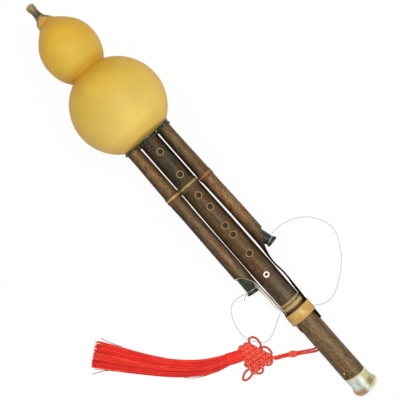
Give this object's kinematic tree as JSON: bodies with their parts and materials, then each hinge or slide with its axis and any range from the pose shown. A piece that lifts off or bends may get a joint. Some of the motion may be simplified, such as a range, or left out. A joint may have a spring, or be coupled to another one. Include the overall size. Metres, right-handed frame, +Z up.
{
  "type": "gourd flute",
  "caption": "Gourd flute: two-bulb gourd wind chest, a fingered melody pipe with two plugged drone pipes, horn foot, and a red cord with a woven knot and tassel.",
  "frame": {"origin": "on the table, under the middle of the instrument's own box, the tassel cord and the plug threads left out", "axes": "+X along the pipes towards the foot, +Z up out of the finger holes, +Y towards the right-hand drone"},
  "size_m": [0.4298, 0.2377, 0.0826],
  "materials": {
    "gourd": "satin, lightly lacquered",
    "dark_bamboo": "polished, mottled",
    "brown_bamboo": "polished",
    "dark_horn": "polished horn",
    "pale_horn": "polished horn",
    "bone": "satin bone",
    "brass": "rolled",
    "band_strip": "satin bamboo strip",
    "red_cord": "silky braid",
    "thread": "fine clear thread"
  },
  "bodies": {
    "root": {"gourd_shell": "gourd", "mouthpiece": "dark_horn", "melody_pipe": "dark_bamboo", "melody_collar": "dark_horn", "hole_bushing": "bone", "binding_band": "band_strip", "foot_bell": "pale_horn", "melody_reed": "brass", "left_drone_pipe": "brown_bamboo", "left_drone_collar": "dark_horn", "left_drone_reed": "brass", "right_drone_pipe": "brown_bamboo", "right_drone_collar": "dark_horn", "right_drone_reed": "brass", "tassel_cord_left": "red_cord", "tassel_cord_right": "red_cord", "knot_cord_left": "red_cord", "knot_cord_right": "red_cord", "left_plug_thread": "thread", "right_plug_thread": "thread", "small_knot": "red_cord", "pan_chang_knot": "red_cord", "tassel_head": "red_cord", "tassel_skirt": "red_cord"},
    "left_plug": {"left_plug": "dark_horn", "left_plug_binding": "thread"},
    "right_plug": {"right_plug": "dark_horn", "right_plug_binding": "thread"}
  },
  "joints": [
    {"name": "left_plug_slide", "type": "slide", "parent": "root", "child": "left_plug", "axis": [0.9828, -0.1564, -0.0982], "range_m": [0, 0.012], "deforming": ["left_plug_thread"]},
    {"name": "right_plug_slide", "type": "slide", "parent": "root", "child": "right_plug", "axis": [0.8943, 0.4384, -0.0893], "range_m": [0, 0.012], "deforming": ["right_plug_thread"]}
  ]
}
